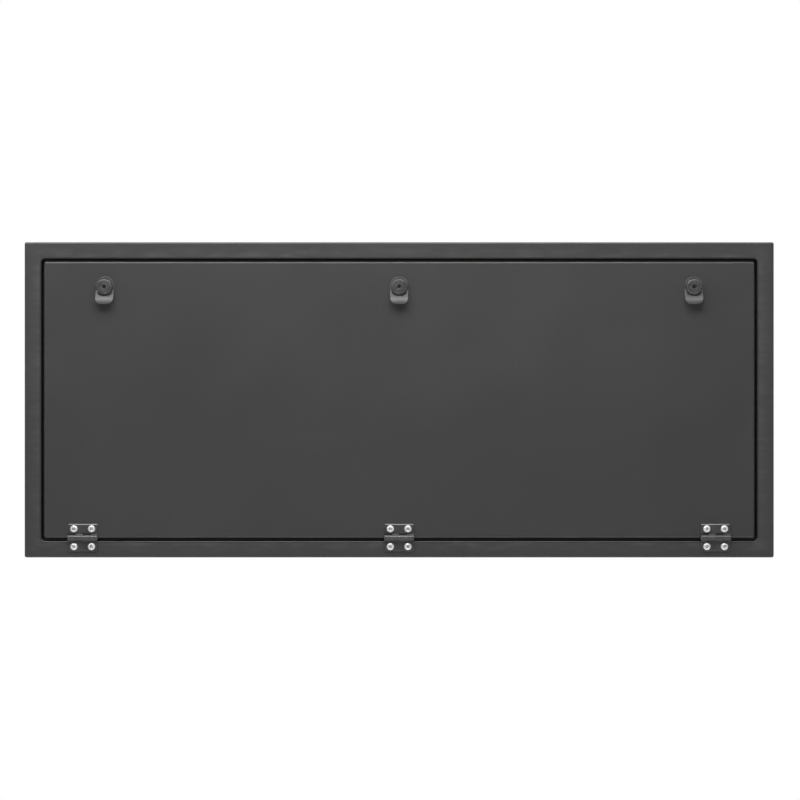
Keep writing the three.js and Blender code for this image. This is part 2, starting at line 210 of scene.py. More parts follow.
def make_lights():
    """One big softbox overhead and in front, and weaker fills from both sides, in front and behind."""
    middle = (0, -0.1, 0)
    side_size = (1.2, 1.6)
    area_light("overhead", (-0.2, -0.85, 1.05), aim=(-0.12, -0.12, 0.05), size=(1.6, 0.7), power=25)
    area_light("front_fill", (0, -4.3, 0.1), aim=(0, -0.12, 0), size=(0.5, 0.5), power=46, glossy=False)
    area_light("left_fill", (-2.6, -1.3, 0.6), aim=middle, size=side_size, power=2)
    area_light("right_fill", (2.6, -1.3, 0.6), aim=middle, size=side_size, power=1.5)
    area_light("back_fill", (1.6, 2.4, 1.4), aim=(0, 0, 0), size=(2.0, 1.2), power=25)


def make_world():
    """A white backdrop, and a sky that lights the scene, dark below and pale above."""
    world = bpy.data.worlds.new("studio")
    world.use_nodes = True
    bpy.context.scene.world = world
    tree = world.node_tree
    tree.nodes.clear()
    place = tree.nodes.new("ShaderNodeTexCoord")
    split = tree.nodes.new("ShaderNodeSeparateXYZ")
    tree.links.new(place.outputs["Generated"], split.inputs[0])
    height = tree.nodes.new("ShaderNodeMapRange")
    height.interpolation_type = "SMOOTHSTEP"
    height.inputs["To Min"].default_value = SKY_BELOW
    height.inputs["To Max"].default_value = SKY_ABOVE
    tree.links.new(split.outputs["Z"], height.inputs["Value"])
    sky = tree.nodes.new("ShaderNodeBackground")
    tree.links.new(height.outputs[0], sky.inputs["Strength"])
    backdrop = tree.nodes.new("ShaderNodeBackground")
    backdrop.inputs["Color"].default_value = (1, 1, 1, 1)
    ray = tree.nodes.new("ShaderNodeLightPath")
    mix = tree.nodes.new("ShaderNodeMixShader")
    out = tree.nodes.new("ShaderNodeOutputWorld")
    tree.links.new(ray.outputs["Is Camera Ray"], mix.inputs["Fac"])
    tree.links.new(sky.outputs[0], mix.inputs[1])
    tree.links.new(backdrop.outputs[0], mix.inputs[2])
    tree.links.new(mix.outputs[0], out.inputs["Surface"])


def set_view():
    """Plain display colours, so that white paper stays white."""
    settings = bpy.context.scene.view_settings
    settings.view_transform = "Standard"
    settings.look = "None"


# ---------- materials ----------


class Recipe:
    """A material with one Principled shader, and short ways to add the nodes that feed it."""

    def __init__(self, name, color, roughness, metallic=0.0, **uniform):
        self.material = bpy.data.materials.new(name)
        self.material.use_nodes = True
        self.tree = self.material.node_tree
        self.shader = self.tree.nodes["Principled BSDF"]
        self.shader.inputs["Base Color"].default_value = (*color, 1)
        self.shader.inputs["Roughness"].default_value = roughness
        self.shader.inputs["Metallic"].default_value = metallic
        for socket, value in uniform.items():
            self.shader.inputs[socket.replace("_", " ")].default_value = value
        self.place = self.tree.nodes.new("ShaderNodeTexCoord").outputs["Object"]
        self.height = None

    def link(self, source, target):
        """Joins an output to an input."""
        self.tree.links.new(source, target)

    def feed(self, source, socket):
        """Drives one of the shader's sockets."""
        self.link(source, self.shader.inputs[socket])

    def stretched(self, scale):
        """The place, scaled differently along each axis."""
        mapping = self.tree.nodes.new("ShaderNodeMapping")
        mapping.inputs["Scale"].default_value = scale
        self.link(self.place, mapping.inputs["Vector"])
        return mapping.outputs[0]

    def noise(self, scale, detail=2.0, place=None, distortion=0.0):
        """Noise from 0 to 1, with scale blotches to the metre."""
        node = self.tree.nodes.new("ShaderNodeTexNoise")
        node.inputs["Scale"].default_value = scale
        node.inputs["Detail"].default_value = detail
        node.inputs["Distortion"].default_value = distortion
        self.link(place or self.place, node.inputs["Vector"])
        return node.outputs["Fac"]

    def attribute(self, name):
        """A value stored on the mesh."""
        node = self.tree.nodes.new("ShaderNodeAttribute")
        node.attribute_name = name
        return node.outputs["Fac"]

    def span(self, source, low, high, to_low=0.0, to_high=1.0):
        """source from low..high, put on to_low..to_high and held there."""
        node = self.tree.nodes.new("ShaderNodeMapRange")
        node.inputs["From Min"].default_value = low
        node.inputs["From Max"].default_value = high
        node.inputs["To Min"].default_value = to_low
        node.inputs["To Max"].default_value = to_high
        self.link(source, node.inputs["Value"])
        return node.outputs[0]

    def math(self, operation, first, second):
        """Two values put together. Either may be a plain number."""
        node = self.tree.nodes.new("ShaderNodeMath")
        node.operation = operation
        for socket, value in zip(node.inputs, (first, second)):
            if isinstance(value, (int, float)):
                socket.default_value = value
            else:
                self.link(value, socket)
        return node.outputs[0]

    def colors(self, source, *stops):
        """A colour ramp over source. Each stop is a place and a colour."""
        node = self.tree.nodes.new("ShaderNodeValToRGB")
        ramp = node.color_ramp
        while len(ramp.elements) < len(stops):
            ramp.elements.new(1.0)
        for element, (where, color) in zip(ramp.elements, stops):
            element.position = where
            element.color = (*color, 1)
        self.link(source, node.inputs["Fac"])
        return node.outputs["Color"]

    def mix(self, share, first, second):
        """first where share is 0 and second where it is 1. Either may be a plain colour."""
        node = self.tree.nodes.new("ShaderNodeMix")
        node.data_type = "RGBA"
        self.link(share, node.inputs["Factor"])
        for socket, value in ((node.inputs[6], first), (node.inputs[7], second)):
            if isinstance(value, tuple):
                socket.default_value = (*value, 1)
            else:
                self.link(value, socket)
        return node.outputs[2]

    def bump(self, source, depth):
        """Adds relief of this depth in metres on top of what there is."""
        node = self.tree.nodes.new("ShaderNodeBump")
        node.inputs["Strength"].default_value = 1.0
        node.inputs["Distance"].default_value = depth
        self.link(source, node.inputs["Height"])
        if self.height is not None:
            self.link(self.height, node.inputs["Normal"])
        self.height = node.outputs[0]
        self.feed(self.height, "Normal")


def grey(value, warmth=0.0):
    """A grey of this linear value, a little warm or cool."""
    return (value * (1 + warmth), value, value * (1 - warmth))


def charcoal_paint():
    """Powder coat: a fine pebble, faint cloudiness, paler paint along the bends, and painted shade in its
    creases.
    """
    paint = Recipe("charcoal_paint", grey(0.03), 0.45, Specular_IOR_Level=0.5)
    clouds = paint.noise(5.0, 3.0, distortion=0.4)
    speckle = paint.noise(1400.0, 2.0)
    tone = paint.math("ADD", paint.span(clouds, 0.25, 0.75, 0.15, 0.6), paint.span(speckle, 0.2, 0.8, 0, 0.4))
    coat = paint.colors(tone, (0.0, grey(0.027, 0.01)), (0.5, grey(0.03, 0.005)), (1.0, grey(0.034)))
    scuffs = paint.noise(1.0, 4.0, paint.stretched((40, 40, 160)))
    worn = paint.math("MULTIPLY", paint.attribute(WEAR_AND_HIGHLIGHT_NAME), paint.span(scuffs, 0.45, 0.7, 0.1, 0.5))
    edge_toned = paint.mix(worn, coat, grey(0.075, 0.02))
    # Painted shade: creases, where the surface turns inward, are darkened.
    paint.feed(paint.mix(paint.attribute(CREASE_SHADE_NAME), edge_toned, grey(0.022)), "Base Color")
    wiped = paint.noise(9.0, 4.0, distortion=1.0)
    paint.feed(paint.span(wiped, 0.3, 0.7, 0.42, 0.49), "Roughness")
    paint.bump(speckle, 0.012 * MM)
    paint.bump(paint.noise(420.0, 1.0), 0.02 * MM)
    return paint.material


def hinge_black():
    """Dark oxide on steel, semi-gloss. Where the wear attribute says, on the leaves' upward-facing edges, it
    shows bare steel: partly wear, partly a painted highlight. Its creases get painted shade.
    """
    oxide = Recipe("hinge_black", grey(0.045), 0.34, 0.0, Specular_IOR_Level=0.6)
    cloud = oxide.noise(120.0, 4.0)
    grain = oxide.noise(1.0, 3.0, oxide.stretched((150, 900, 2400)))
    coat = oxide.colors(cloud, (0.3, grey(0.035)), (0.7, grey(0.046, 0.02)))
    # Painted highlight, partly wear: bare steel on the upward-facing leaf edges that the wear attribute
    # marks.
    bare_top_highlight = oxide.math("MULTIPLY", oxide.attribute(WEAR_AND_HIGHLIGHT_NAME), oxide.span(grain, 0.3, 0.6, 0.15, 0.35))
    edge_toned = oxide.mix(bare_top_highlight, coat, grey(0.5, 0.01))
    # Painted shade: creases, where the surface turns inward, are darkened.
    oxide.feed(oxide.mix(oxide.attribute(CREASE_SHADE_NAME), edge_toned, grey(0.02)), "Base Color")
    oxide.feed(bare_top_highlight, "Metallic")
    oxide.feed(oxide.span(cloud, 0.3, 0.7, 0.28, 0.4), "Roughness")
    oxide.bump(grain, 0.006 * MM)
    return oxide.material


def latch_black():
    """A satin coat on a casting, thin on its edges, with painted shade in its corners."""
    coat = Recipe("latch_black", grey(0.035), 0.45, 0.0, Specular_IOR_Level=0.6)
    cloud = coat.noise(160.0, 3.0)
    pits = coat.noise(1800.0, 2.0)
    base = coat.colors(cloud, (0.3, grey(0.03)), (0.7, grey(0.04)))
    rub = coat.math("MULTIPLY", coat.attribute(WEAR_AND_HIGHLIGHT_NAME), coat.span(cloud, 0.3, 0.7, 0.05, 0.4))
    edge_toned = coat.mix(rub, base, grey(0.12, 0.02))
    # Painted shade: creases, where the surface turns inward, are darkened.
    coat.feed(coat.mix(coat.attribute(CREASE_SHADE_NAME), edge_toned, grey(0.022)), "Base Color")
    coat.feed(coat.span(cloud, 0.3, 0.7, 0.4, 0.5), "Roughness")
    coat.bump(pits, 0.012 * MM)
    return coat.material


def stainless():
    """Bright steel with a fine turned grain, a few dull spots, and painted shade down in its sockets."""
    steel = Recipe("stainless", grey(0.8), 0.3, 0.6)
    stain = steel.noise(300.0, 3.0)
    grain = steel.noise(3000.0, 1.0)
    bright = steel.colors(stain, (0.3, grey(0.82, 0.01)), (0.65, grey(0.92)))
    # Painted shade: sockets and other inward turns are darkened almost to black.
    socket_shade = steel.span(steel.attribute(CREASE_SHADE_NAME), 0.02, 0.5, 0.0, 0.97)
    steel.feed(steel.mix(socket_shade, bright, grey(0.03)), "Base Color")
    steel.feed(steel.span(stain, 0.3, 0.7, 0.3, 0.45), "Roughness")
    steel.bump(grain, 0.004 * MM)
    return steel.material


def zinc_steel():
    """Zinc plate: pale bluish spangle with duller patches."""
    zinc = Recipe("zinc_steel", (0.44, 0.46, 0.48), 0.36, 1.0)
    spangle = zinc.noise(180.0, 4.0, distortion=1.5)
    patch = zinc.noise(25.0, 3.0)
    tone = zinc.math("ADD", zinc.span(spangle, 0.3, 0.7, 0, 0.6), zinc.span(patch, 0.3, 0.7, 0, 0.4))
    zinc.feed(zinc.colors(tone, (0.1, (0.36, 0.37, 0.38)), (0.9, (0.58, 0.6, 0.63))), "Base Color")
    zinc.feed(zinc.span(patch, 0.3, 0.7, 0.3, 0.48), "Roughness")
    zinc.bump(zinc.noise(1500.0, 2.0), 0.006 * MM)
    return zinc.material


def foam_rubber():
    """Closed-cell foam, with its skin broken by small pores."""
    foam = Recipe("foam_rubber", grey(0.04), 0.9, Specular_IOR_Level=0.25)
    pores = foam.noise(900.0, 3.0)
    foam.feed(foam.colors(pores, (0.35, grey(0.025)), (0.6, grey(0.055))), "Base Color")
    foam.feed(foam.span(pores, 0.3, 0.7, 0.95, 0.82), "Roughness")
    foam.bump(pores, 0.12 * MM)
    return foam.material


def silvered_glass():
    """A mirror. Its ground edge, which the wear attribute marks, shows the green of the glass."""
    mirror = Recipe("silvered_glass", (0.84, 0.87, 0.86), 0.03, 1.0)
    haze = mirror.noise(7.0, 4.0, distortion=0.8)
    edge = mirror.attribute(WEAR_AND_HIGHLIGHT_NAME)
    silver = mirror.colors(haze, (0.3, (0.8, 0.83, 0.82)), (0.7, (0.87, 0.89, 0.88)))
    mirror.feed(mirror.mix(edge, silver, (0.18, 0.34, 0.28)), "Base Color")
    smears = mirror.span(haze, 0.4, 0.75, 0.015, 0.05)
    mirror.feed(mirror.math("ADD", smears, mirror.math("MULTIPLY", edge, 0.25)), "Roughness")
    return mirror.material


def clear_glass():
    """Float glass: nearly clear through its faces, and green at its polished edges."""
    glass = Recipe("clear_glass", (0.9, 0.96, 0.94), 0.02, IOR=1.5, Transmission_Weight=1.0)
    edge = glass.attribute(WEAR_AND_HIGHLIGHT_NAME)
    film = glass.noise(12.0, 4.0, distortion=0.6)
    clear = glass.colors(film, (0.3, (0.88, 0.95, 0.93)), (0.7, (0.94, 0.98, 0.97)))
    glass.feed(glass.mix(edge, clear, (0.35, 0.7, 0.58)), "Base Color")
    prints = glass.span(film, 0.45, 0.75, 0.01, 0.07)
    glass.feed(glass.math("ADD", prints, glass.math("MULTIPLY", edge, 0.12)), "Roughness")
    return glass.material


def floor_paper():
    """Pale studio paper."""
    paper = Recipe("floor_paper", grey(0.85), 0.8)
    paper.feed(paper.colors(paper.noise(3.0, 3.0), (0.3, grey(0.83)), (0.7, grey(0.87))), "Base Color")
    paper.bump(paper.noise(400.0, 2.0), 0.05 * MM)
    return paper.material


# ---------- meshes ----------


def spaced(low, high, count):
    """count values spread evenly between two, ends included."""
    return [low + (high - low) * step / (count - 1) for step in range(count)]


def ring_points(radius, steps=ROUND_STEPS):
    """Points round a circle, as pairs."""
    turns = [2 * math.pi * step / steps for step in range(steps)]
    return [(radius * math.cos(turn), radius * math.sin(turn)) for turn in turns]


def rounded_points(half_x, half_z, corner, steps=CORNER_STEPS):
    """Points round a rectangle with round corners, as pairs, all going the same way."""
    corner = max(corner, 0.05 * MM)
    points = []
    for quarter, (sx, sz) in enumerate(((1, 1), (-1, 1), (-1, -1), (1, -1))):
        for step in range(steps + 1):
            turn = (quarter + step / steps) * math.pi / 2
            x = sx * (half_x - corner) + corner * math.cos(turn)
            z = sz * (half_z - corner) + corner * math.sin(turn)
            points.append((x, z))
    return points


def arc(centre, radius, start, end, steps=BEND_STEPS):
    """Points on an arc, ends included, with the angles in degrees."""
    made = []
    for step in range(steps + 1):
        turn = math.radians(start + (end - start) * step / steps)
        made.append((centre[0] + radius * math.cos(turn), centre[1] + radius * math.sin(turn)))
    return made


def new_mesh(name, vertices, faces):
    """A mesh object with its faces turned outwards."""
    mesh = bpy.data.meshes.new(name)
    mesh.from_pydata([tuple(vertex) for vertex in vertices], [], faces)
    shape = bmesh.new()
    shape.from_mesh(mesh)
    bmesh.ops.recalc_face_normals(shape, faces=shape.faces)
    shape.to_mesh(mesh)
    shape.free()
    obj = bpy.data.objects.new(name, mesh)
    bpy.context.scene.collection.objects.link(obj)
    return obj


def loft(name, loops, closed=False):
    """Joins loops of equally many points. Open lofts are capped at both ends."""
    count = len(loops[0])
    vertices = [point for loop in loops for point in loop]
    faces = []
    last = len(loops) if closed else len(loops) - 1
    for row in range(last):
        a, b = row * count, (row + 1) % len(loops) * count
        faces += [(a + i, a + (i + 1) % count, b + (i + 1) % count, b + i) for i in range(count)]
    if not closed:
        faces.append(tuple(range(count - 1, -1, -1)))
        faces.append(tuple(range((len(loops) - 1) * count, len(loops) * count)))
    return new_mesh(name, vertices, faces)


def turned(name, profile, centre, closed=False):
    """A solid turned about the Y axis through centre, from (radius, y) points."""
    cx, cy, cz = centre
    loops = [[(cx + x, cy + y, cz + z) for x, z in ring_points(radius)] for radius, y in profile]
    return loft(name, loops, closed)


def turned_x(name, profile, centre, closed=False):
    """A solid turned about the X axis through centre, from (radius, x) points."""
    cx, cy, cz = centre
    loops = [[(cx + x, cy + y, cz + z) for y, z in ring_points(radius)] for radius, x in profile]
    return loft(name, loops, closed)


def join(name, pieces):
    """Makes one object, of this name, out of several."""
    shape = bmesh.new()
    for piece in pieces:
        shape.from_mesh(piece.data)
    for piece in pieces:
        bpy.data.objects.remove(piece)
    mesh = bpy.data.meshes.new(name)
    shape.to_mesh(mesh)
    shape.free()
    obj = bpy.data.objects.new(name, mesh)
    bpy.context.scene.collection.objects.link(obj)
    return obj


def share(value, limits):
    """Where value lies between two limits, from 0 to 1."""
    return min(1.0, max(0.0, (value - limits[0]) / (limits[1] - limits[0])))


def mark_edges(obj, upper_highlight_only=False):
    """Stores how worn each vertex is, where the surface turns outwards, and how much painted shade it gets,
    where it turns in.

    Asked for upper edges only, it keeps wear to the edges that face up: a painted highlight where the
    overhead light falls.
    """
    shape = bmesh.new()
    shape.from_mesh(obj.data)
    shape.normal_update()
    wear_and_highlight = shape.verts.layers.float.new(WEAR_AND_HIGHLIGHT_NAME)
    crease_shade = shape.verts.layers.float.new(CREASE_SHADE_NAME)
    for vertex in shape.verts:
        turns = [edge.calc_face_angle_signed(0.0) for edge in vertex.link_edges if len(edge.link_faces) == 2]
        outward, inward = max(turns, default=0.0), -min(turns, default=0.0)
        # Painted highlight: asked for upper edges only, wear is kept to edges whose normal faces up, where
        # the overhead light falls.
        upward_highlight = share(vertex.normal.z, UPWARD_HIGHLIGHT_FACING) if upper_highlight_only else 1.0
        vertex[wear_and_highlight] = upward_highlight * share(outward, WEAR_AND_HIGHLIGHT_TURN)
        # Painted shade: inward turns, such as creases and socket bottoms, are marked to be darkened.
        vertex[crease_shade] = share(inward, CREASE_SHADE_TURN)
    shape.to_mesh(obj.data)
    shape.free()


def cut_holes(obj, cutters):
    """Takes the cutters away from obj and deletes them. The caller marks its edges first, on the clean mesh.
    """
    for index, cutter in enumerate(cutters):
        hole = obj.modifiers.new(f"hole_{index}", "BOOLEAN")
        hole.operation = "DIFFERENCE"
        hole.solver = "EXACT"
        hole.object = cutter
    bpy.context.view_layer.update()
    evaluated = obj.evaluated_get(bpy.context.evaluated_depsgraph_get())
    obj.data = bpy.data.meshes.new_from_object(evaluated)
    obj.modifiers.clear()
    for cutter in cutters:
        bpy.data.objects.remove(cutter)


def drill(radius, x, z, y0, y1):
    """A cutter for a hole along Y."""
    return turned("drill", [(radius, y0), (radius, y1)], (x, 0, z))


def smooth(obj):
    """Smooth shading across shallow angles, weighted so that flat faces stay flat."""
    obj.data.polygons.foreach_set("use_smooth", [True] * len(obj.data.polygons))
    obj.data.set_sharp_from_angle(angle=SMOOTH_ANGLE)
    weighted = obj.modifiers.new("weighted", "WEIGHTED_NORMAL")
    weighted.keep_sharp = True
    weighted.weight = 100


def place(obj, node, material):
    """Finishes a piece that stands for one CAD node."""
    body = frame["nodes"][node]["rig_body"]
    if WEAR_AND_HIGHLIGHT_NAME not in obj.data.attributes:
        mark_edges(obj)
    smooth(obj)
    obj.data.materials.clear()
    obj.data.materials.append(materials[material])
    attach(obj, body)
    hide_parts(node)
    return obj


def centre_of(node):
    """The middle of a CAD node's box."""
    low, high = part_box(node)
    return (low + high) / 2


# ---------- sheet metal ----------


def quarter(radius, steps=BEND_STEPS):
    """How far in and how far back a round bend is, at each step of its quarter turn."""
    turns = [step / steps * math.pi / 2 for step in range(steps + 1)]
    return [(radius * (1 - math.cos(turn)), radius * (1 - math.sin(turn))) for turn in turns]


def ring(half_x, half_z, section):
    """A frame of one section all round. Each section point is (inset, y, corner), and inset may be a pair."""
    loops = []
    for inset, y, corner in section:
        inset_x, inset_z = inset if isinstance(inset, tuple) else (inset, inset)
        points = rounded_points(half_x - inset_x, half_z - inset_z, corner)
        loops.append([(x, y, z) for x, z in points])
    return loops


def face_frame():
    """The front frame: the face, the rim bent back round it, and the bend into the door opening."""
    low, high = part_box("face_frame")
    front, rear = low.y, high.y
    edge = 0.4 * MM
    margin = 1 * MM
    section = [(0.0, rear - edge, FRAME_CORNER)]
    section += [(inset, front + back, FRAME_CORNER - inset) for inset, back in quarter(FRAME_BEND)]
    section.append((FRAME_BEND + margin, front, 0.0))
    flat_end = FRAME_FACE - OPENING_BEND
    section.append((flat_end - margin, front, OPENING_CORNER + OPENING_BEND + margin))
    for back, left in reversed(quarter(OPENING_BEND)):
        section.append((FRAME_FACE - left, front + back, OPENING_CORNER + left))
    section.append((FRAME_FACE, front + FRAME_SHEET, OPENING_CORNER))
    for inset, back in reversed(quarter(FRAME_BEND - FRAME_SHEET)):
        section.append((FRAME_SHEET + inset, front + FRAME_SHEET + back, FRAME_CORNER - FRAME_SHEET - inset))
    section.append((FRAME_SHEET, rear - edge, FRAME_CORNER - FRAME_SHEET))
    section.append((FRAME_SHEET - edge, rear, FRAME_CORNER - FRAME_SHEET))
    section.append((edge, rear, FRAME_CORNER - edge))
    frame_piece = loft("front_frame", ring(high.x, high.z, section), closed=True)
    place(frame_piece, "face_frame", "charcoal_paint")


def rebate_frame():
    """The wall behind the opening's edge, bent inwards at the rear into the lip."""
    low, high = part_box("rebate_frame")
    front, rear = low.y, high.y
    edge = 0.35 * MM
    lip_end = tuple(REBATE_SHEET + size for size in REBATE_LIP)
    lip_face = tuple(size - edge for size in lip_end)
    outer_corner = OPENING_CORNER + REBATE_SHEET
    section = [(0.0, front, outer_corner)]
    section += [(inset, rear - back, outer_corner) for inset, back in quarter(REBATE_BEND)]
    section.append((lip_face, rear, LIP_CORNER))
    section.append((lip_end, rear - edge, LIP_CORNER))
    section.append((lip_end, rear - REBATE_SHEET + edge, LIP_CORNER))
    section.append((lip_face, rear - REBATE_SHEET, LIP_CORNER))
    for inset, back in reversed(quarter(REBATE_BEND - REBATE_SHEET)):
        section.append((REBATE_SHEET + inset, rear - REBATE_SHEET - back, OPENING_CORNER))
    section.append((REBATE_SHEET, front, OPENING_CORNER))
    rebate = loft("inner_frame", ring(high.x, high.z, section), closed=True)
    place(rebate, "rebate_frame", "charcoal_paint")


def gasket():
    """The foam seal: a D section, its round side to the door."""
    low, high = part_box("door_gasket")
    thickness = high.y - low.y
    straight = 0.35  # share of the thickness before the crown starts
    corner = LIP_CORNER + GASKET_WIDTH
    section = [(0.0, high.y, corner)]
    for turn in spaced(0, math.pi, 11):
        inset = GASKET_WIDTH / 2 * (1 - math.cos(turn))
        rise = straight + (1 - straight) * math.sin(turn)
        section.append((inset, high.y - thickness * rise, corner - inset))
    section.append((GASKET_WIDTH, high.y, LIP_CORNER))
    seal = loft("gasket", ring(high.x, high.z, section), closed=True)
    place(seal, "door_gasket", "foam_rubber")


def plate(name, low, high, axis, edges=(0.3 * MM, 0.3 * MM), corner=0.8 * MM):
    """A flat sheet between two corners, thin along axis, with its two faces' edges rounded."""
    across = [index for index in range(3) if index != axis]
    middle = [(low[index] + high[index]) / 2 for index in across]
    half = [(high[index] - low[index]) / 2 for index in across]
    levels = [(edges[0] + CAP_INSET, low[axis])]
    levels += [(inset, low[axis] + back) for back, inset in quarter(edges[0])]
    levels += [(inset, high[axis] - back) for inset, back in quarter(edges[1])]
    levels.append((edges[1] + CAP_INSET, high[axis]))
    loops = []
    for inset, level in levels:
        loop = []
        for u, v in rounded_points(half[0] - inset, half[1] - inset, corner - inset, 5):
            point = [0.0, 0.0, 0.0]
            point[axis] = level
            point[across[0]], point[across[1]] = middle[0] + u, middle[1] + v
            loop.append(point)
        loops.append(loop)
    return loft(name, loops)


def weld_mark(centre, facing):
    """A shallow painted-over spot weld: a low rim round a dished middle, facing along a unit vector."""
    outward = Vector(facing)
    side = outward.orthogonal().normalized()
    other = outward.cross(side)
    loops = []
    for radius, rise in ((3.4, -0.05), (2.9, 0.1), (2.4, 0.12), (1.9, 0.05), (0.8, 0.02)):
        base = Vector(centre) + outward * rise * MM
        loops.append([base + (side * u + other * v) * radius * MM for u, v in ring_points(1.0, 20)])
    return loft("weld_mark", loops)


def body_panels():
    """The four walls of the box behind the frame, with their spot welds."""
    weld_rows = (28 * MM, 108 * MM)
    end_margin = 18 * MM
    for node, axis in (("body_top", 2), ("body_bottom", 2), ("body_left", 0), ("body_right", 0)):
        low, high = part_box(node)
        outside = high[axis] if centre_of(node)[axis] > 0 else low[axis]
        facing = [0, 0, 0]
        facing[axis] = 1 if outside > 0 else -1
        along = 2 - axis
        count = 9 if along == 0 else 5
        marks = []
        for back in weld_rows:
            for spot in spaced(low[along] + end_margin, high[along] - end_margin, count):
                centre = [0.0, low.y + back, 0.0]
                centre[axis], centre[along] = outside, spot
                marks.append(weld_mark(centre, facing))
        wall = plate("wall", low, high, axis)
        place(join(node.replace("body", "shell"), [wall, *marks]), node, "charcoal_paint")


def back_panel():
    """The back, with a pressed ring round each of its four holes."""
    low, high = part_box("body_back")
    back = plate("back", low, high, 1)
    mark_edges(back)
    places = [(x * WALL_HOLE["x"], z * WALL_HOLE["z"]) for x in (-1, 1) for z in (-1, 1)]
    cut_holes(back, [drill(WALL_HOLE["radius"], x, z, low.y - OVERCUT, high.y + OVERCUT) for x, z in places])
    pressed = ((4.0, -0.05), (4.4, 0.5), (5.2, 0.75), (7.2, 0.75), (8.6, -0.05))
    profile = [(radius * MM, -rise * MM) for radius, rise in pressed]
    rings = [turned("ring", profile, (x, low.y, z), closed=True) for x, z in places]
    place(join("shell_back", [back, *rings]), "body_back", "charcoal_paint")


def partition():
    """The divider between the two bays, with its edges rounded over."""
    low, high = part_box("partition")
    edge = 0.7 * MM
    place(plate("divider", low, high, 0, (edge, edge)), "partition", "charcoal_paint")


def mirror(bay):
    """A mirror pane, with a ground bevel round its front."""
    low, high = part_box(f"mirror_{bay}")
    pane = plate(f"mirror_pane_{bay}", low, high, 1, (1.1 * MM, 0.4 * MM), 3 * MM)
    place(pane, f"mirror_{bay}", "silvered_glass")


def glass_shelf(bay):
    """A glass shelf, with polished round edges."""
    low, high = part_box(f"shelf_{bay}")
    edge = 1.2 * MM
    shelf = plate(f"glass_shelf_{bay}", low, high, 2, (edge, edge), 3 * MM)
    place(shelf, f"shelf_{bay}", "clear_glass")


def inner_panels():
    """The partition, and a mirror pane and a glass shelf in each bay."""
    partition()
    for bay in BAYS:
        mirror(bay)
        glass_shelf(bay)


def shelf_rest(bay, end):
    """An angle, bent from strip, under one end of a shelf."""
    node = f"shelf_rest_{bay}_{end}"
    low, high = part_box(node)
    wall_on_left = (bay == "left") == (end == "outer")
    wall, away = (low.x, 1) if wall_on_left else (high.x, -1)
    leg = high.x - low.x
    drop = high.z - low.z
    outline = [(leg, 0)]
    outline += [(inset, back) for back, inset in reversed(quarter(REST_BEND))]
    outline += [(0, drop), (REST_SHEET, drop)]
    inner_bend = quarter(REST_BEND - REST_SHEET)
    outline += [(REST_SHEET + inset, REST_SHEET + back) for inset, back in inner_bend]
    outline += [(leg, REST_SHEET)]
    loops = []
    for y in (low.y, high.y):
        loops.append([(wall + away * out, y, high.z - down) for out, down in outline])
    place(loft(f"angle_{bay}_{end}", loops), node, "charcoal_paint")


def shelf_rests():
    """Four angles, one under each end of each shelf."""
    for bay in BAYS:
        for end in ("outer", "inner"):
            shelf_rest(bay, end)


# ---------- door ----------


def hinge_centre(place_name):
    """The middle of a hinge's pin."""
    return centre_of(f"hinge_{place_name}_pin")


def latch_centre(place_name):
    """The point where a latch's axis meets the door's front face."""
    middle = centre_of(f"latch_{place_name}_nut")
    return Vector((middle.x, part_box("door_skin")[0].y, middle.z))


def door_screw_places():
    """The x and z of the hinge screws in the door."""
    made = []
    for name in PLACES:
        centre = hinge_centre(name)
        made += [(centre.x + sx * SCREW_PITCH / 2, centre.z + SCREW_PITCH / 2) for sx in (-1, 1)]
    return made


def barrel_drills(y0, y1):
    """Cutters for the three holes that the latch barrels pass through."""
    centres = [latch_centre(name) for name in PLACES]
    return [drill(BARREL_HOLE, centre.x, centre.z, y0, y1) for centre in centres]


def door_skin():
    """The door's outer pan, with holes for the hinge screws and the latch barrels."""
    low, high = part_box("door_skin")
    front, rear = low.y, high.y
    edge = 0.35 * MM
    section = [(DOOR_BEND + CAP_INSET, front, 0.0)]
    section += [(inset, front + back, DOOR_CORNER - inset) for inset, back in reversed(quarter(DOOR_BEND))]
    section += [(0.0, rear - edge, DOOR_CORNER), (edge, rear, DOOR_CORNER - edge)]
    section += [(DOOR_SHEET - edge, rear, DOOR_CORNER - DOOR_SHEET)]
    section += [(DOOR_SHEET, rear - edge, DOOR_CORNER - DOOR_SHEET)]
    for inset, back in quarter(DOOR_BEND - DOOR_SHEET):
        section.append((DOOR_SHEET + inset, front + DOOR_SHEET + back, DOOR_CORNER - DOOR_SHEET - inset))
    skin = loft("door_pan", ring(high.x, high.z, section))
    mark_edges(skin)
    y0, y1 = front - OVERCUT, front + DOOR_SHEET + OVERCUT
    screw_holes = [drill(SCREW_HOLE, x, z, y0, y1) for x, z in door_screw_places()]
    cut_holes(skin, screw_holes + barrel_drills(y0, y1))
    place(skin, "door_skin", "charcoal_paint")


def rivet(x, y, z):
    """A blind rivet's head, domed, with the hollow that its stem leaves."""
    profile = [(0.5, -0.3), (0.9, 0.6), (1.2, 0.85), (2.0, 0.8), (2.8, 0.5), (3.2, 0.1), (3.2, -0.3)]
    return turned("rivet", [(radius * MM, rise * MM) for radius, rise in profile], (x, y, z))


def door_liner():
    """The door's rear sheet, with its barrel holes and a row of rivets round it."""
    low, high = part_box("door_liner")
    liner = plate("liner", low, high, 1)
    mark_edges(liner)
    cut_holes(liner, barrel_drills(low.y - OVERCUT, high.y + OVERCUT))
    inset = 24 * MM
    left, right = low.x + inset, high.x - inset
    rows = (low.z + inset, high.z - inset)
    spots = [(x, z) for x in spaced(left, right, 8) for z in rows]
    spots += [(left, 0.0), (right, 0.0)]
    rivets = [rivet(x, high.y, z) for x, z in spots]
    place(join("door_back", [liner, *rivets]), "door_liner", "charcoal_paint")


# ---------- hinges ----------


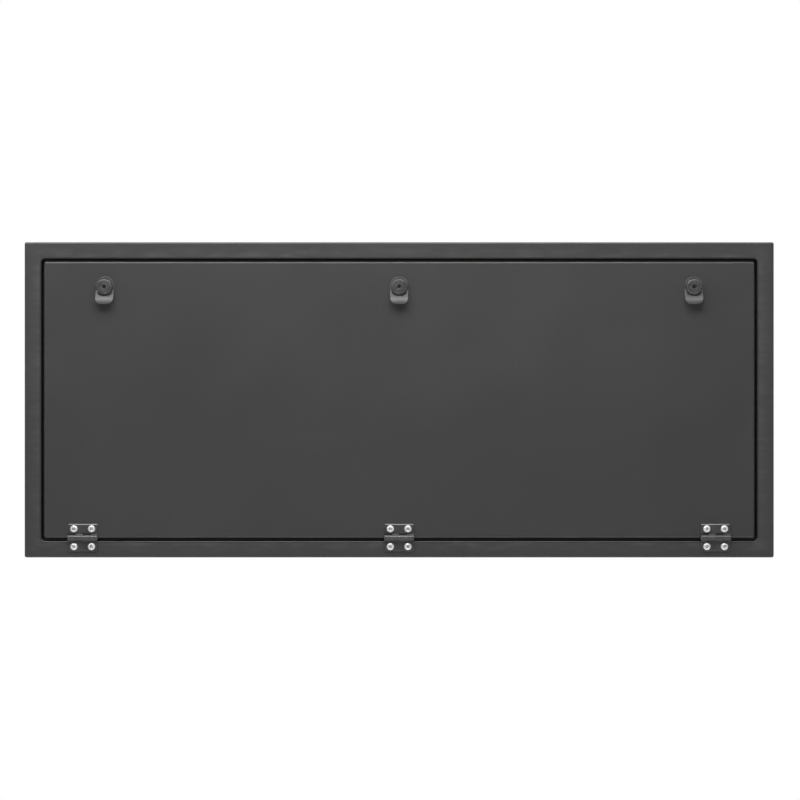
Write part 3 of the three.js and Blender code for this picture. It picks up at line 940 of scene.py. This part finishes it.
def knuckle(centre, x0, x1):
    """One rolled knuckle: a tube with softened ends."""
    edge = 0.15 * MM
    profile = [(KNUCKLE_BORE, x0 + edge), (KNUCKLE_BORE + edge, x0)]
    profile += [(KNUCKLE - inset, x0 + back) for back, inset in quarter(edge, 3)]
    profile += [(KNUCKLE - inset, x1 - back) for inset, back in quarter(edge, 3)]
    profile += [(KNUCKLE_BORE + edge, x1), (KNUCKLE_BORE, x1 - edge)]
    return turned_x("knuckle", profile, centre, closed=True)


def knuckle_web(centre, side, x0, x1):
    """The part of the leaf that runs into a knuckle, with its hollow curve."""
    hollow = 1.0 * MM
    into_leaf = 6.2 * MM
    front = KNUCKLE - LEAF - 0.02 * MM
    rear = KNUCKLE - 0.05 * MM
    reach = KNUCKLE + hollow
    hollow_y = front - hollow
    hollow_z = math.sqrt(reach**2 - hollow_y**2)
    end = math.degrees(math.atan2(-hollow_z, -hollow_y))
    outline = [(rear, 0.0), (rear, into_leaf), (front, into_leaf)]
    outline += arc((hollow_y, hollow_z), hollow, 0, end)
    outline.append((0.0, 0.0))
    loops = []
    for x in (x0, x1):
        loops.append([(centre.x + x, centre.y + y, centre.z + side * z) for y, z in outline])
    return loft("web", loops)


def hinge_leaf(place_name, part, side, first):
    """A leaf with coined edges and every second knuckle, counted from first."""
    centre = hinge_centre(place_name)
    rows = sorted((centre.z + side * LEAF_START, centre.z + side * LEAF_REACH))
    low = Vector((centre.x - HINGE_HALF, centre.y + KNUCKLE - LEAF, rows[0]))
    high = Vector((centre.x + HINGE_HALF, centre.y + KNUCKLE, rows[1]))
    shapes = [plate("leaf", low, high, 1, (LEAF_EDGE, 0.1 * MM), LEAF_CORNER)]
    # Wear kept to the leaf's upward edges: a painted highlight there, partly wear.
    mark_edges(shapes[0], upper_highlight_only=True)
    pitch = 2 * HINGE_HALF / KNUCKLE_COUNT
    gap = 0.08 * MM
    web_inset = 0.2 * MM
    for index in range(first, KNUCKLE_COUNT, 2):
        x0 = -HINGE_HALF + index * pitch + gap
        x1 = x0 + pitch - 2 * gap
        shapes.append(knuckle(centre, x0, x1))
        shapes.append(knuckle_web(centre, side, x0 + web_inset, x1 - web_inset))
    node = f"hinge_{place_name}_{part}_leaf"
    place(join(f"leaf_{place_name}_{part}", shapes), node, "hinge_black")


def hinge_pin(place_name):
    """The pin, with domed ends."""
    low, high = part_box(f"hinge_{place_name}_pin")
    half = (high.x - low.x) / 2
    radius = (high.z - low.z) / 2
    turns = spaced(0.2, math.pi / 2, 6)
    dome = [(radius * math.sin(turn), 0.8 * MM * (1 - math.cos(turn))) for turn in turns]
    profile = [(out, -half + back) for out, back in dome]
    profile += [(out, half - back) for out, back in reversed(dome)]
    pin = turned_x(f"pin_{place_name}", profile, hinge_centre(place_name))
    place(pin, f"hinge_{place_name}_pin", "stainless")


def hexagon_points(across_flats):
    """Points round a hexagon, one for each point of a ring, as pairs."""
    made = []
    sixth = math.pi / 3
    for u, v in ring_points(1.0):
        turn = math.atan2(v, u) % sixth - sixth / 2
        radius = across_flats / 2 / math.cos(turn)
        made.append((u * radius, v * radius))
    return made


def socket_screw(name, centre, facing, head, height, socket, shank, length):
    """A button-head screw whose seat is at centre and whose head points along Y by facing."""
    cx, cy, cz = centre
    flat = socket * 0.5 + 0.9 * MM

    def level(points, rise):
        """A loop at this height above the seat."""
        return [(cx + u, cy + facing * rise, cz + v) for u, v in points]

    loops = [
        level(hexagon_points(socket * 0.5), height * 0.35),
        level(hexagon_points(socket * 0.98), height * 0.4),
        level(hexagon_points(socket), height * 0.6),
        level(hexagon_points(socket), height - 0.12 * MM),
        level(hexagon_points(socket * 1.1), height),
    ]
    for turn in spaced(0, math.pi / 2, 9):
        radius = flat + (head - flat) * math.sin(turn)
        loops.append(level(ring_points(radius), height * (0.14 + 0.86 * math.cos(turn))))
    loops.append(level(ring_points(head - 0.15 * MM), 0.0))
    loops.append(level(ring_points(shank), 0.0))
    loops.append(level(ring_points(shank), 0.5 * MM - length))
    loops.append(level(ring_points(shank - 0.5 * MM), -length))
    return loft(name, loops)


def hinge_screw(place_name, part, number):
    """A bright button-head screw through a leaf."""
    node = f"hinge_{place_name}_{part}_screw_{number}"
    middle = centre_of(node)
    head_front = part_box(node)[0].y
    seat = Vector((middle.x, head_front + HINGE_SCREW["height"], middle.z))
    screw = socket_screw(f"screw_{place_name}_{part}_{number}", seat, -1, **HINGE_SCREW)
    place(screw, node, "stainless")


def hinges():
    """Three hinges: two leaves and a pin each, and four screws."""
    for name in PLACES:
        hinge_leaf(name, "frame", -1, 0)
        hinge_leaf(name, "door", 1, 1)
        hinge_pin(name)
        for part in ("frame", "door"):
            for number in (1, 2):
                hinge_screw(name, part, number)


# ---------- latches ----------


def scoop_rise(drop):
    """How far forward the pull's middle layer stands at this depth below the latch's axis."""
    past = drop - PULL_FLAT
    if past <= 0:
        return 0.0
    turn_in = SCOOP_IN * math.sin(SCOOP_ANGLE)
    left = PULL_DROP - drop
    turn_out = SCOOP_OUT * math.sin(SCOOP_ANGLE)
    slope = math.tan(SCOOP_ANGLE)
    if past < turn_in:
        return SCOOP_IN - math.sqrt(SCOOP_IN**2 - past**2)
    first = SCOOP_IN * (1 - math.cos(SCOOP_ANGLE))
    straight = PULL_DROP - PULL_FLAT - turn_in - turn_out
    if left > turn_out:
        return first + (past - turn_in) * slope
    top = first + straight * slope + SCOOP_OUT * (1 - math.cos(SCOOP_ANGLE))
    return top - SCOOP_OUT + math.sqrt(SCOOP_OUT**2 - max(left, 0.0) ** 2)


def pull_outline(inset):
    """The pull's outline round its latch axis, as (x, z) pairs: a round top and two round lower corners."""
    half = PULL_HALF - inset
    corner = PULL_CORNER - inset
    low = inset - PULL_DROP
    points = arc((0, PULL_TOP_CENTRE), half, 0, 180, 28)
    points += arc((-half + corner, low + corner), corner, 180, 270, 10)
    points += arc((half - corner, low + corner), corner, 270, 360, 10)
    return points


def pull_plate(centre):
    """The finger pull: a plate behind the head, bent forward into a scoop below it."""
    edge = 0.6 * MM
    half = PULL_PLATE / 2
    levels = [(edge + 0.8 * MM, -half)]
    levels += [(inset, -half + back) for back, inset in quarter(edge, 4)]
    levels += [(inset, half - back) for inset, back in quarter(edge, 4)]
    levels.append((edge + 0.8 * MM, half))
    loops = [[(x, level, z) for x, z in pull_outline(inset)] for inset, level in levels]
    blank = loft("pull", loops)
    shape = bmesh.new()
    shape.from_mesh(blank.data)
    for drop in spaced(PULL_FLAT - 1 * MM, PULL_DROP - 0.4 * MM, 30):
        everything = shape.verts[:] + shape.edges[:] + shape.faces[:]
        bmesh.ops.bisect_plane(shape, geom=everything, plane_co=(0, 0, -drop), plane_no=(0, 0, 1))
    middle = -(SEAT_GAP + half)
    reach = 0.1 * MM
    for vertex in shape.verts:
        drop = -vertex.co.z
        slope = (scoop_rise(drop + reach) - scoop_rise(drop - reach)) / (2 * reach)
        across = vertex.co.y * math.sqrt(1 + slope**2)
        vertex.co.y = middle - scoop_rise(drop) + across
        vertex.co += centre
    shape.to_mesh(blank.data)
    shape.free()
    return blank


def latch_housing(place_name):
    """The fixed casting: a round head on the pull, and the threaded barrel through the door."""
    centre = latch_centre(place_name)
    edge = 0.35 * MM
    step_out = 0.3 * MM
    root = 0.45 * MM
    foot = -(SEAT_GAP + PULL_PLATE)  # the front of the pull's plate, which the head stands on
    profile = [(BARREL_BORE, HEAD_FRONT + edge), (BARREL_BORE + step_out, HEAD_FRONT)]
    bevel = reversed(quarter(HEAD_BEVEL, 8))
    profile += [(HEAD_RADIUS - inset, HEAD_FRONT + back) for inset, back in bevel]
    profile += [(HEAD_RADIUS, foot - 0.1 * MM), (HEAD_RADIUS + step_out, foot + 0.1 * MM)]
    profile += [(HEAD_RADIUS + step_out, foot / 2), (BARREL, -SEAT_GAP)]
    for index in range(int((BARREL_END - THREAD_START) / THREAD_PITCH)):
        start = THREAD_START + index * THREAD_PITCH
        profile.append((BARREL - root, start + THREAD_PITCH * 0.1))
        profile.append((BARREL, start + THREAD_PITCH * 0.6))
    profile += [(BARREL - 0.4 * MM, BARREL_END), (BARREL_BORE, BARREL_END)]
    head = turned("head", profile, centre, closed=True)
    casting = join(f"handle_{place_name}", [head, pull_plate(centre)])
    place(casting, f"latch_{place_name}_housing", "latch_black")


def latch_plug(place_name):
    """The turning core, its face turned in rings round a hexagonal socket, with a square tenon behind."""
    centre = latch_centre(place_name)
    cx, cy, cz = centre

    def level(points, behind_face):
        """A loop this far behind the core's face."""
        return [(cx + u, cy + PLUG_FRONT + behind_face, cz + v) for u, v in points]

    loops = [
        level(hexagon_points(PLUG_SOCKET * 0.3), 4.4 * MM),
        level(hexagon_points(PLUG_SOCKET * 0.66), 4.2 * MM),
        level(hexagon_points(PLUG_SOCKET * 0.7), 1.4 * MM),
        level(ring_points(PLUG_SOCKET * 0.56), 0.15 * MM),
        level(ring_points(PLUG_SOCKET * 0.58), 0.0),
    ]
    for groove in (3.9 * MM, 4.75 * MM, 5.6 * MM):
        for step, depth in ((-0.22, 0.0), (-0.1, 0.16), (0.1, 0.16), (0.22, 0.0)):
            loops.append(level(ring_points(groove + step * MM), depth * MM))
    for inset, back in reversed(quarter(0.45 * MM, 4)):
        loops.append(level(ring_points(PLUG_RADIUS - inset), back))
    length = BARREL_END - PLUG_FRONT
    loops.append(level(ring_points(PLUG_RADIUS), length))
    loops.append(level(ring_points(TENON_HALF + SEAT_GAP), length))
    core = loft("core", loops)
    low = Vector((cx - TENON_HALF, cy + BARREL_END - OVERCUT, cz - TENON_HALF))
    high = Vector((cx + TENON_HALF, cy + TENON_END, cz + TENON_HALF))
    tenon = plate("tenon", low, high, 1, (0.2 * MM, 0.2 * MM), 0.5 * MM)
    place(join(f"core_{place_name}", [core, tenon]), f"latch_{place_name}_plug", "latch_black")


def latch_washer(place_name):
    """The washer, with its edges broken."""
    node = f"latch_{place_name}_washer"
    low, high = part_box(node)
    outer = (high.x - low.x) / 2
    inner = BARREL_HOLE
    edge = 0.25 * MM
    profile = [(inner, low.y), (outer - edge, low.y), (outer, low.y + edge)]
    profile += [(outer, high.y - edge), (outer - edge, high.y)]
    profile += [(inner + edge, high.y), (inner, high.y - edge)]
    middle = centre_of(node)
    ring_piece = turned(f"washer_{place_name}", profile, (middle.x, 0, middle.z), closed=True)
    place(ring_piece, node, "zinc_steel")


def latch_nut(place_name):
    """The hexagonal nut, with both faces turned to a cone at the corners."""
    node = f"latch_{place_name}_nut"
    low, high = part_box(node)
    middle = centre_of(node)
    cone = NUT_FLATS / 2 * 0.97
    inner = BARREL_HOLE
    lead_in = 0.5 * MM
    slope = math.tan(math.radians(30))

    def level(points, y):
        """A flat loop round the nut's axis."""
        return [(middle.x + u, y, middle.z + v) for u, v in points]

    def cornered(y, inward):
        """The nut's outline where the cone meets its flats, next to the face at y."""
        made = []
        for u, v in hexagon_points(NUT_FLATS):
            back = (math.hypot(u, v) - cone) * slope
            made.append((middle.x + u, y + inward * back, middle.z + v))
        return made

    loops = [
        level(ring_points(inner), low.y + lead_in),
        level(ring_points(inner + lead_in), low.y),
        level(ring_points(cone), low.y),
        cornered(low.y, 1),
        cornered(high.y, -1),
        level(ring_points(cone), high.y),
        level(ring_points(inner + lead_in), high.y),
        level(ring_points(inner), high.y - lead_in),
    ]
    place(loft(f"nut_{place_name}", loops, closed=True), node, "zinc_steel")


def latch_cam(place_name):
    """The tongue, stamped from strip with rounded edges."""
    node = f"latch_{place_name}_cam"
    low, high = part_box(node)
    centre = latch_centre(place_name)
    reach = centre.x - low.x

    def outline(inset):
        """The tongue's outline, as (x, z) pairs round the latch's axis."""
        points = arc((0, 0), CAM_HUB - inset, -90, 90, 20)
        points += arc((CAM_TIP - reach, 0), CAM_TIP - inset, 90, 270, 16)
        return points

    edge = 0.35 * MM
    levels = [(edge + 1 * MM, low.y)]
    levels += [(inset, low.y + back) for back, inset in quarter(edge, 3)]
    levels += [(inset, high.y - back) for inset, back in quarter(edge, 3)]
    levels.append((edge + 1 * MM, high.y))
    loops = [[(centre.x + x, y, centre.z + z) for x, z in outline(inset)] for inset, y in levels]
    place(loft(f"tongue_{place_name}", loops), node, "zinc_steel")


def cam_screw(place_name):
    """The screw that holds the tongue on the core."""
    seat = latch_centre(place_name) + Vector((0, CAM_SCREW_SEAT, 0))
    screw = socket_screw(f"tongue_screw_{place_name}", seat, 1, **CAM_SCREW)
    place(screw, f"latch_{place_name}_cam_screw", "zinc_steel")


def latches():
    """Three latches, each of six pieces."""
    for name in PLACES:
        latch_housing(name)
        latch_plug(name)
        latch_washer(name)
        latch_nut(name)
        latch_cam(name)
        cam_screw(name)


def hinge_bars():
    """The two bars behind the sheet keep their CAD shape, with broken edges."""
    for node in ("frame_hinge_bar", "door_hinge_bar"):
        bar = frame["nodes"][node]
        chamfer = bar.modifiers.new("chamfer", "BEVEL")
        chamfer.width = 0.3 * MM
        chamfer.segments = 2
        chamfer.limit_method = "ANGLE"
        for material_slot in bar.material_slots:
            material_slot.link = "OBJECT"
            material_slot.material = materials["zinc_steel"]


def make_floor():
    """A plain pale floor, well below the open door. It ends before it comes into the camera's view."""
    count = FLOOR_LINES
    vertices = [(x, y, FLOOR_Z) for y in spaced(*FLOOR_Y, count) for x in spaced(*FLOOR_X, count)]
    corners = [row * count + column for row in range(count - 1) for column in range(count - 1)]
    faces = [(corner, corner + 1, corner + count + 1, corner + count) for corner in corners]
    floor = new_mesh("floor", vertices, faces)
    floor.data.materials.append(floor_paper())


make_camera()
set_view()
make_world()
make_lights()
materials = {
    "charcoal_paint": charcoal_paint(),
    "hinge_black": hinge_black(),
    "latch_black": latch_black(),
    "stainless": stainless(),
    "zinc_steel": zinc_steel(),
    "foam_rubber": foam_rubber(),
    "silvered_glass": silvered_glass(),
    "clear_glass": clear_glass(),
}
face_frame()
rebate_frame()
gasket()
body_panels()
back_panel()
inner_panels()
shelf_rests()
door_skin()
door_liner()
hinge_bars()
hinges()
latches()
make_floor()
